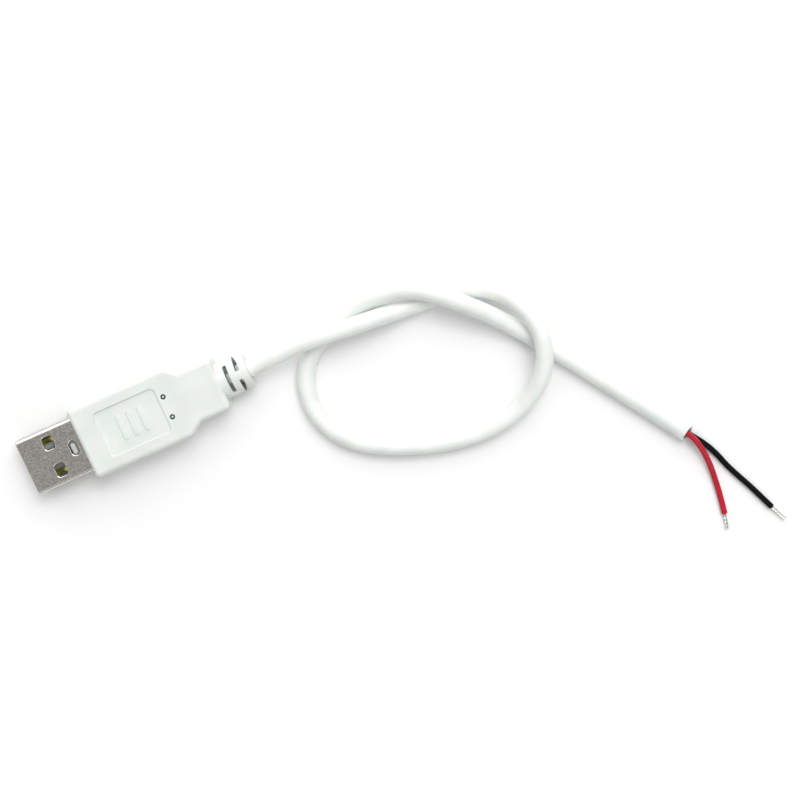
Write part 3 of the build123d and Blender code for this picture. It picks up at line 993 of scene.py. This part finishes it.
def makeTinSolder():
    material, tree, shader, place = startMaterial("tinSolder", {"Metallic": 1.0})
    crystals = addNode(
        tree, "ShaderNodeTexVoronoi", {"Scale": scaleFor(tinSolder["crystals"])}, {"Vector": place},
    )
    skin = addNode(
        tree, "ShaderNodeBump", {"Strength": 0.3, "Distance": 0.008 * mm},
        {"Height": crystals.outputs["Distance"]},
    )
    span = {"From Min": 0.1, "From Max": 0.7}
    tint = crystals.outputs["Distance"], span, tinSolder["dark"], tinSolder["light"]
    rough = crystals.outputs["Distance"], {"To Min": 0.22, "To Max": 0.4}
    feedShader(tree, shader, tint, rough, skin)
    return material


# annealed copper strands dipped in tin: bright silver, with bare copper next to the insulation
tinnedStrands = {
    "dip": 0.25, "copper": "#B3703F", "tin": "#EDECE8", "roughness": (0.12, 0.24),
    "tinFrom": 0.55, "tinTo": 0.85,  # mm from the insulation, before the ragged edge is added
}


def makeTinnedStrands():
    material, tree, shader, place = startMaterial("tinnedCopperStrands", {"Metallic": 1.0})
    fromCut = addNode(tree, "ShaderNodeAttribute", attribute_name="fromCut").outputs["Fac"]  # in mm
    dip = addNode(
        tree, "ShaderNodeTexNoise", {"Scale": scaleFor(tinnedStrands["dip"]), "Detail": 2.0}, {"Vector": place},
    )
    ragged = addNode(
        tree, "ShaderNodeMath", {1: 0.8}, {0: dip.outputs["Fac"], 2: fromCut}, operation="MULTIPLY_ADD",
    )
    drips = addNode(
        tree, "ShaderNodeBump", {"Strength": 0.3, "Distance": 0.01 * mm}, {"Height": dip.outputs["Fac"]},
    )
    dipped = {"From Min": tinnedStrands["tinFrom"], "From Max": tinnedStrands["tinTo"]}
    tint = ragged.outputs["Value"], dipped, tinnedStrands["copper"], tinnedStrands["tin"]
    rough = dip.outputs["Fac"], roughEnds(*tinnedStrands["roughness"])
    feedShader(tree, shader, tint, rough, drips)
    return material


# thin extruded PVC insulation: glossy, evenly dyed, slightly wavy over its strands
wirePvc = {
    "waves": 1.8, "fine": 0.12, "roughness": (0.2, 0.3),
    "red": ("#A81126", "#BC172D", 0.4), "black": ("#020202", "#060606", 0.18),  # dark, light and shine
}


def makeWirePvc(name, dark, light, shine):
    material, tree, shader, place = startMaterial(name, {"IOR": 1.53, "Specular IOR Level": shine})
    waves = addNode(
        tree, "ShaderNodeTexNoise", {"Scale": scaleFor(wirePvc["waves"]), "Detail": 2.0}, {"Vector": place},
    )
    fine = addNode(
        tree, "ShaderNodeTexNoise", {"Scale": scaleFor(wirePvc["fine"]), "Detail": 2.0}, {"Vector": place},
    )
    wavy = addNode(
        tree, "ShaderNodeBump", {"Strength": 0.35, "Distance": 0.06 * mm}, {"Height": waves.outputs["Fac"]},
    )
    skin = addNode(
        tree, "ShaderNodeBump", {"Strength": 0.12, "Distance": 0.004 * mm},
        {"Height": fine.outputs["Fac"], "Normal": wavy.outputs["Normal"]},
    )
    tint = waves.outputs["Fac"], noiseMiddle, dark, light
    rough = fine.outputs["Fac"], roughEnds(*wirePvc["roughness"])
    feedShader(tree, shader, tint, rough, skin)
    return material


def dress(piece, material):
    piece.data.materials.clear()
    piece.data.materials.append(material)


def dressNode(node, material):
    for place in frame["nodes"][node].material_slots:
        place.material = material


# the faces that are given the painted shade, in the pin marks and the slots
def inPinMark(face):
    x, y, z = face.center / mm
    low, high = paintedShadePvc["markHeights"]
    away = math.hypot(x - moulding["pinHole"], abs(y) - moulding["pinHoleSide"])
    return away < paintedShadePvc["markReach"] and low < z < high


def inSlot(face):
    x, y, z = face.center / mm
    margin = 0.02  # mm
    alongSlot = any(a - margin < x < b + margin for a, b in (moulding["topSlot"], moulding["sideSlot"]))
    return alongSlot and math.hypot(y, z - moulding["axis"]) < paintedShadePvc["slotReach"]


def onFoldedEdge(face):  # the shell's long folds and the rolled rims, which get the painted sheen
    low, high = nickelSteel["foldTilt"]
    return low < face.normal.z < high


def dressPart(piece, material, test):  # one more material, on the faces that pass the test
    piece.data.materials.append(material)
    for face in piece.data.polygons:
        if test(face):
            face.material_index = len(piece.data.materials) - 1


whitePvc, jacketPvc = makeMouldedPvc(), makeExtrudedPvc()
steel = makeNickelSteel("nickelPlatedSteel", nickelSteel["satin"])
carrierPlastic, gold, innerPlastic = makeFilledPbt(), makeFlashedBrass(), makeNaturalPe()
solder, tinned = makeTinSolder(), makeTinnedStrands()
redPvc = makeWirePvc("wirePvcRed", *wirePvc["red"])
blackPvc = makeWirePvc("wirePvcBlack", *wirePvc["black"])

for piece, material in (
    (plugMoulding, whitePvc), (plugShell, steel), (contactCarrier, carrierPlastic), (cableJacket, jacketPvc),
    (redLead, redPvc), (blackLead, blackPvc), (redTinnedEnd, tinned), (blackTinnedEnd, tinned),
    (redPlugWire, redPvc), (blackPlugWire, blackPvc), (redPlugStrands, tinned), (blackPlugStrands, tinned),
):
    dress(piece, material)
for piece in contacts:
    dress(piece, gold)
# painted shade: darker grey PVC in the pin marks and the relief's slots
dressPart(plugMoulding, makePaintedShadePvc("mouldedPvcPinMarkShade", *paintedShadePvc["pinMarks"]), inPinMark)
dressPart(plugMoulding, makePaintedShadePvc("mouldedPvcSlotShade", *paintedShadePvc["slots"]), inSlot)
# painted sheen: lighter steel on the folds and rims that tilt up
dressPart(plugShell, makeNickelSteel("nickelPlatedSteelPaintedSheen", nickelSteel["paintedSheen"]), onFoldedEdge)
for node in ("vbus_solder_joint", "ground_solder_joint"):
    dressNode(node, solder)
dressNode("inner_mould", innerPlastic)
print("materials given")


# table and light
light = {
    "table": 0.91, "tableRoughness": 0.7,
    "overhead": 0.5, "horizon": 0.08, "fullFrom": 0.75,  # the studio's brightness above and at table height
    "lamps": [  # degrees aside from the picture's top, degrees up, metres away, width and height in metres, watts
        {"name": "keyLight", "aside": 18, "up": 62, "away": 1.8, "wide": 0.9, "high": 0.9, "watts": 13},
        {"name": "lightWall", "aside": 0, "up": 38, "away": 1.8, "wide": 2.8, "high": 1.5, "watts": 23},
        {"name": "lowCard", "aside": -22, "up": 7, "away": 1.3, "wide": 1.2, "high": 0.38, "watts": 2.6},
        {"name": "fillLight", "aside": 156, "up": 36, "away": 1.4, "wide": 0.6, "high": 1.0, "watts": 3.4},
    ],
}


def addStage():
    bpy.ops.object.select_all(action="DESELECT")
    bpy.ops.mesh.primitive_plane_add(size=3, location=(0, 0, 0))
    table = bpy.context.object
    table.name = "table"
    material = bpy.data.materials.new("paleTable")
    material.use_nodes = True
    shader = material.node_tree.nodes["Principled BSDF"]
    shader.inputs["Base Color"].default_value = (light["table"], light["table"], light["table"], 1)
    shader.inputs["Roughness"].default_value = light["tableRoughness"]
    table.data.materials.append(material)


def addStudio():  # an even white room that is darker towards the table's height
    world = bpy.data.worlds.new("studio")
    world.use_nodes = True
    tree = world.node_tree
    way = addNode(tree, "ShaderNodeTexCoord").outputs["Generated"]
    parts = addNode(tree, "ShaderNodeSeparateXYZ", links={"Vector": way})
    values = {"From Max": light["fullFrom"], "To Min": light["horizon"], "To Max": light["overhead"]}
    glow = addNode(tree, "ShaderNodeMapRange", values, {"Value": parts.outputs["Z"]})
    tree.nodes["Background"].inputs["Color"].default_value = (1, 1, 1, 1)
    tree.links.new(glow.outputs["Result"], tree.nodes["Background"].inputs["Strength"])
    bpy.context.scene.world = world


def addLamp(settings):  # a flat soft light that faces the middle of the picture
    turn = math.radians(camera["plugTurn"] + settings["aside"])
    lift = math.radians(settings["up"])
    towards = Vector((math.sin(turn) * math.cos(lift), math.cos(turn) * math.cos(lift), math.sin(lift)))
    data = bpy.data.lights.new(settings["name"], "AREA")
    data.shape = "RECTANGLE"
    data.size, data.size_y = settings["wide"], settings["high"]
    data.energy = settings["watts"]
    lamp = bpy.data.objects.new(settings["name"], data)
    bpy.context.scene.collection.objects.link(lamp)
    lamp.location = Vector(camera["target"]) * mm + towards * settings["away"]
    lamp.rotation_euler = towards.to_track_quat("Z", "Y").to_euler()


addStage()
addStudio()
for settings in light["lamps"]:
    addLamp(settings)
bpy.context.scene.view_settings.view_transform = "Standard"  # the photo's ground is nearly white
print("light set")
